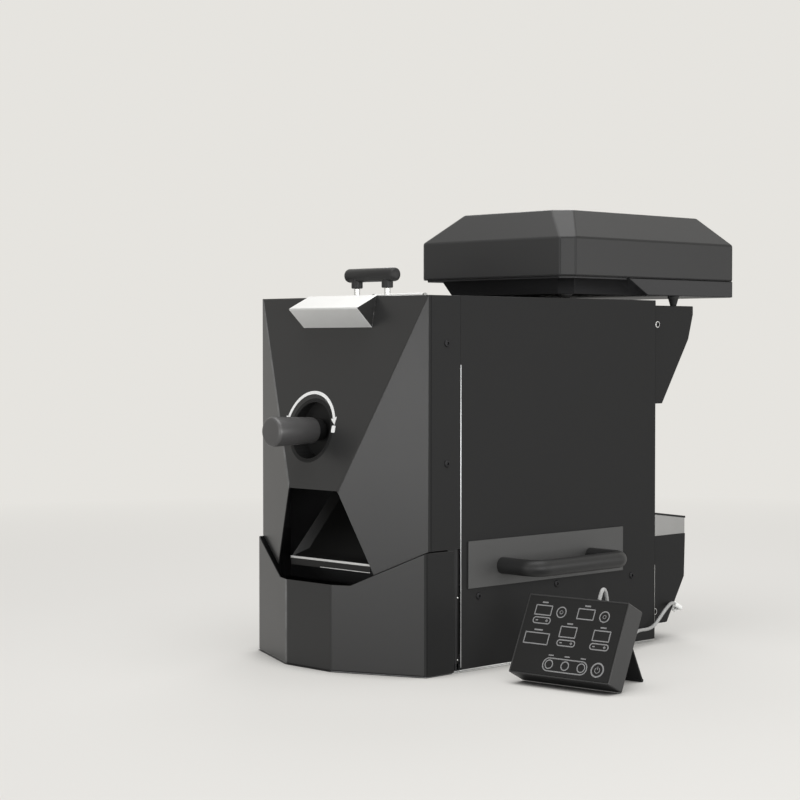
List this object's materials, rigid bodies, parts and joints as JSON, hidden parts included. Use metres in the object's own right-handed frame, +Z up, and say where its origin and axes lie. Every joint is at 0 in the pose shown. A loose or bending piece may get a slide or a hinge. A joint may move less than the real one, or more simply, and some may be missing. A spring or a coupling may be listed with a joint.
{
  "type": "home coffee bean roaster",
  "caption": "Countertop drum coffee roaster with a faceted black casing, hopper, discharge handle, bean bin, side tray, chaff basket, lidded cooling unit on top and a wired control box.",
  "frame": {"origin": "middle of the footprint box of the machine and its control box, on the counter", "axes": "+Z up, -Y is the front, +X is the machine's right side as seen from the front"},
  "size_m": [0.5244, 0.7164, 0.558],
  "materials": {
    "black_paint": "fine-textured black powder coat",
    "front_paint": "fine-textured dark grey powder coat",
    "hood_paint": "satin dark grey powder coat",
    "stainless": "brushed stainless sheet",
    "bare_steel": "plain machined steel",
    "dark_steel": "dark coated steel",
    "black_plastic": "matt moulded black",
    "grip_plastic": "matt moulded grip",
    "rubber": "black rubber",
    "gloss_black": "printed touch panel",
    "board_green": "circuit board",
    "cable_grey": "light grey cable jacket"
  },
  "bodies": {
    "root": {"base_pan": "stainless", "foot_front_left": "rubber", "foot_front_right": "rubber", "foot_rear_left": "rubber", "foot_rear_right": "rubber", "left_side_panel": "black_paint", "right_side_panel": "black_paint", "top_panel": "black_paint", "rear_panel": "black_paint", "front_cover": "front_paint", "front_bulkhead": "dark_steel", "rear_bulkhead": "dark_steel", "heat_shield": "stainless", "tray_shelf": "dark_steel", "hopper_funnel": "stainless", "front_bearing": "bare_steel", "rear_bearing": "bare_steel", "drum_motor": "dark_steel", "heater_element": "bare_steel", "exhaust_fan_tube": "dark_steel", "exhaust_fan_motor": "dark_steel", "rear_duct": "black_paint", "chaff_box": "black_paint", "power_inlet": "black_plastic", "power_board": "board_green", "hopper_hinge": "bare_steel", "knob_recess": "black_plastic", "discharge_chute": "stainless", "control_case": "black_plastic", "control_face": "gloss_black", "control_cable": "cable_grey", "cable_plug": "stainless"},
    "drum": {"drum": "bare_steel", "drum_shaft": "bare_steel", "drum_gear": "bare_steel"},
    "motor_pinion": {"motor_pinion": "bare_steel"},
    "exhaust_fan_wheel": {"exhaust_fan_wheel": "black_plastic"},
    "hopper_lid": {"hopper_lid": "stainless", "lid_grip": "grip_plastic", "lid_stud_left": "stainless", "lid_stud_right": "stainless"},
    "discharge_handle": {"discharge_knob": "grip_plastic", "knob_shaft": "bare_steel", "discharge_shutter": "bare_steel"},
    "bean_bin": {"bean_bin_front": "front_paint", "bean_bin_pan": "stainless"},
    "side_tray": {"side_tray_front": "hood_paint", "side_tray_pan": "stainless", "side_tray_handle": "grip_plastic"},
    "chaff_basket": {"chaff_basket": "stainless"},
    "cooler": {"cooler_tub": "hood_paint", "cooler_screen": "stainless", "cooler_fan_motor": "dark_steel", "cooler_foot_front_left": "rubber", "cooler_foot_front_right": "rubber", "cooler_foot_rear_left": "rubber", "cooler_foot_rear_right": "rubber"},
    "cooler_lid": {"cooler_lid": "hood_paint"},
    "cooler_fan": {"cooler_fan": "black_plastic"},
    "control_stand": {"control_stand": "black_paint"}
  },
  "joints": [
    {"name": "drum_spin", "type": "hinge", "parent": "root", "child": "drum", "pos_m": [-0.11218, -0.0802, 0.292], "axis": [0, 1, 0], "continuous": true},
    {"name": "pinion_spin", "type": "hinge", "parent": "root", "child": "motor_pinion", "pos_m": [-0.08003, 0.0918, 0.23631], "axis": [0, 1, 0], "continuous": true},
    {"name": "exhaust_fan_spin", "type": "hinge", "parent": "root", "child": "exhaust_fan_wheel", "pos_m": [-0.11218, 0.1168, 0.393], "axis": [0, 1, 0], "continuous": true},
    {"name": "hopper_lid_hinge", "type": "hinge", "parent": "root", "child": "hopper_lid", "pos_m": [-0.11218, -0.1652, 0.4463], "axis": [-1, 0, 0], "range_deg": [0, 105]},
    {"name": "discharge_turn", "type": "hinge", "parent": "root", "child": "discharge_handle", "pos_m": [-0.13078, -0.2602, 0.2826], "axis": [0, -1, 0], "range_deg": [-90, 90]},
    {"name": "bean_bin_slide", "type": "slide", "parent": "root", "child": "bean_bin", "axis": [0, -1, 0], "range_m": [0, 0.13]},
    {"name": "side_tray_slide", "type": "slide", "parent": "root", "child": "side_tray", "axis": [1, 0, 0], "range_m": [0, 0.08]},
    {"name": "chaff_basket_lift", "type": "slide", "parent": "root", "child": "chaff_basket", "axis": [0, 0, 1], "range_m": [0, 0.12]},
    {"name": "cooler_lift", "type": "slide", "parent": "root", "child": "cooler", "axis": [0, 0, 1], "range_m": [0, 0.25]},
    {"name": "cooler_lid_hinge", "type": "hinge", "parent": "cooler", "child": "cooler_lid", "pos_m": [-0.11218, 0.3548, 0.4698], "axis": [-1, 0, 0], "range_deg": [0, 100]},
    {"name": "cooler_fan_spin", "type": "hinge", "parent": "cooler", "child": "cooler_fan", "pos_m": [-0.11218, 0.0898, 0.455], "axis": [0, 0, 1], "continuous": true},
    {"name": "control_stand_fold", "type": "hinge", "parent": "root", "child": "control_stand", "pos_m": [0.18718, -0.14914, 0.07212], "axis": [-0.9938, -0.1115, 0], "range_deg": [0, 54]}
  ],
  "couplings": [
    {"joint": "pinion_spin", "follows": "drum_spin", "ratio": -3}
  ]
}
